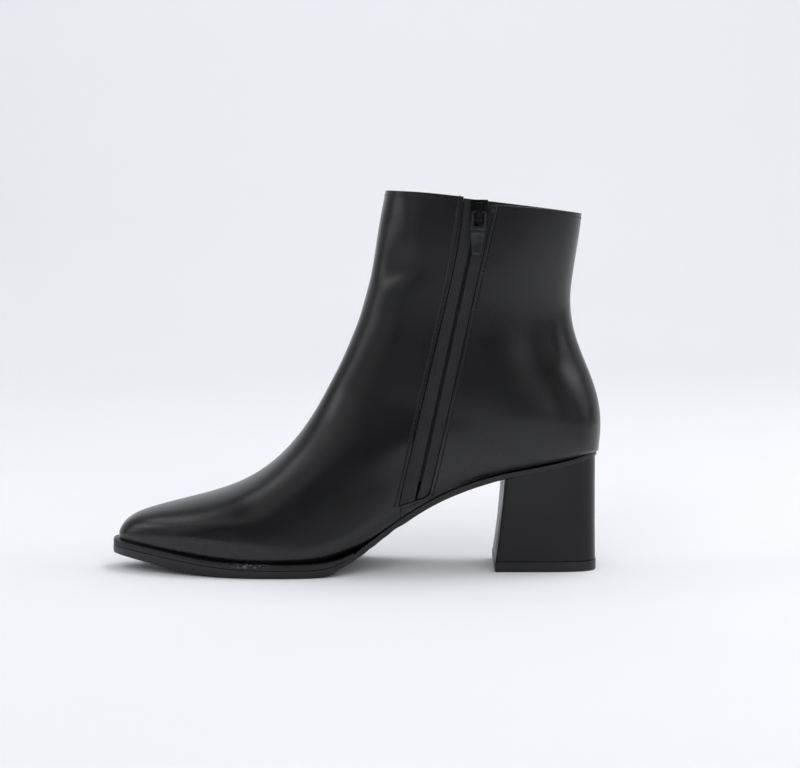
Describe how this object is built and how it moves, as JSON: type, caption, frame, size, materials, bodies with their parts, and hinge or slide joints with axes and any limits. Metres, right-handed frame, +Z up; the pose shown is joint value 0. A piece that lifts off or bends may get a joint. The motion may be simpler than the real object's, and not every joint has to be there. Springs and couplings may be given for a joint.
{
  "type": "ankle boot",
  "caption": "Black leather ankle boot for the right foot, with a zip on the inner side, a thin welted sole and a covered block heel",
  "frame": {"origin": "on the floor, under the middle of the boot's box", "axes": "+X from toe to heel, +Y from the inner side of the foot to the outer side, +Z up from the floor"},
  "size_m": [0.2558, 0.0908, 0.1978],
  "materials": {
    "leather": "smooth, semi-gloss",
    "sole": "matte to satin",
    "sock": "matte lining leather",
    "zip_tape": "woven tape",
    "zip_coil": "nylon coil",
    "zip_metal": "black plated, satin"
  },
  "bodies": {
    "boot": {"upper": "leather", "outsole": "sole", "insole": "sock", "welt": "sole", "heel_block": "leather", "heel_tip": "sole", "zip_tape_front": "zip_tape", "zip_tape_back": "zip_tape", "zip_chain": "zip_coil", "zip_slider": "zip_metal"},
    "pull_tab": {"zip_pull": "zip_metal"}
  },
  "joints": [
    {"name": "zip_pull_swing", "type": "hinge", "parent": "boot", "child": "pull_tab", "pos_m": [0.06287, -0.03103, 0.1876], "axis": [-0.9976, 0, 0.0698], "range_deg": [0, 165]}
  ]
}
